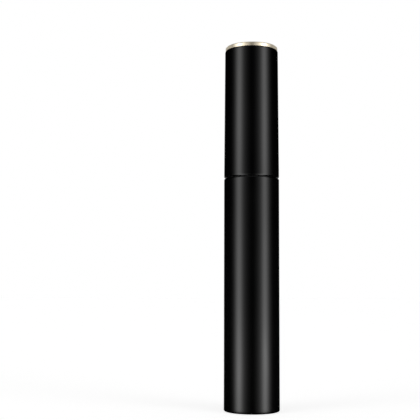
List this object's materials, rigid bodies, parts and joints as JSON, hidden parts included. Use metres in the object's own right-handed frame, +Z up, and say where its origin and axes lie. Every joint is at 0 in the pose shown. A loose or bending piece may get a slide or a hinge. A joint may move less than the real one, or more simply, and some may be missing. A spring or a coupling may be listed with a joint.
{
  "type": "mascara tube",
  "caption": "Slim round mascara tube: lacquered sleeve over an inner bottle with a wiper, and a screw cap that carries the stem and brush, with a metal plate on the cap's end.",
  "frame": {"origin": "centre of the round base, on the surface that the closed tube stands on", "axes": "+Z up along the tube's axis, from the base to the gold plate on the cap; the thread's first ridge starts near +X"},
  "size_m": [0.0184, 0.0184, 0.1214],
  "materials": {
    "black_lacquer": "satin-gloss black lacquer",
    "black_moulding": "black polypropylene as moulded",
    "natural_bottle": "natural translucent polypropylene",
    "wiper_elastomer": "soft low-density polyethylene, stained by the mascara",
    "washer_foam": "closed-cell foam liner",
    "gold_plate": "champagne gold anodised, bevelled edge",
    "stem_plastic": "black, smooth",
    "brush_plastic": "black, coated with mascara",
    "bristle_elastomer": "black soft bristles, coated with mascara"
  },
  "bodies": {
    "bottle": {"tube_sleeve": "black_lacquer", "base_plug": "black_moulding", "vial": "natural_bottle", "shoulder_collar": "black_moulding", "wiper": "wiper_elastomer"},
    "seal": {"seal_washer": "washer_foam"},
    "closure": {"cap_shell": "black_lacquer", "inner_cap": "black_moulding", "end_plug": "black_moulding", "end_plate": "gold_plate", "wand_stem": "stem_plastic", "brush_core": "brush_plastic", "brush_bristles": "bristle_elastomer"}
  },
  "joints": [
    {"name": "wand_withdraw", "type": "slide", "parent": "bottle", "child": "seal", "axis": [0, 0, 1], "range_m": [0, 0.095], "deforming": ["wiper"]},
    {"name": "cap_unscrew", "type": "hinge", "parent": "seal", "child": "closure", "pos_m": [0, 0, 0.0769], "axis": [0, 0, 1], "range_deg": [0, 150]}
  ]
}
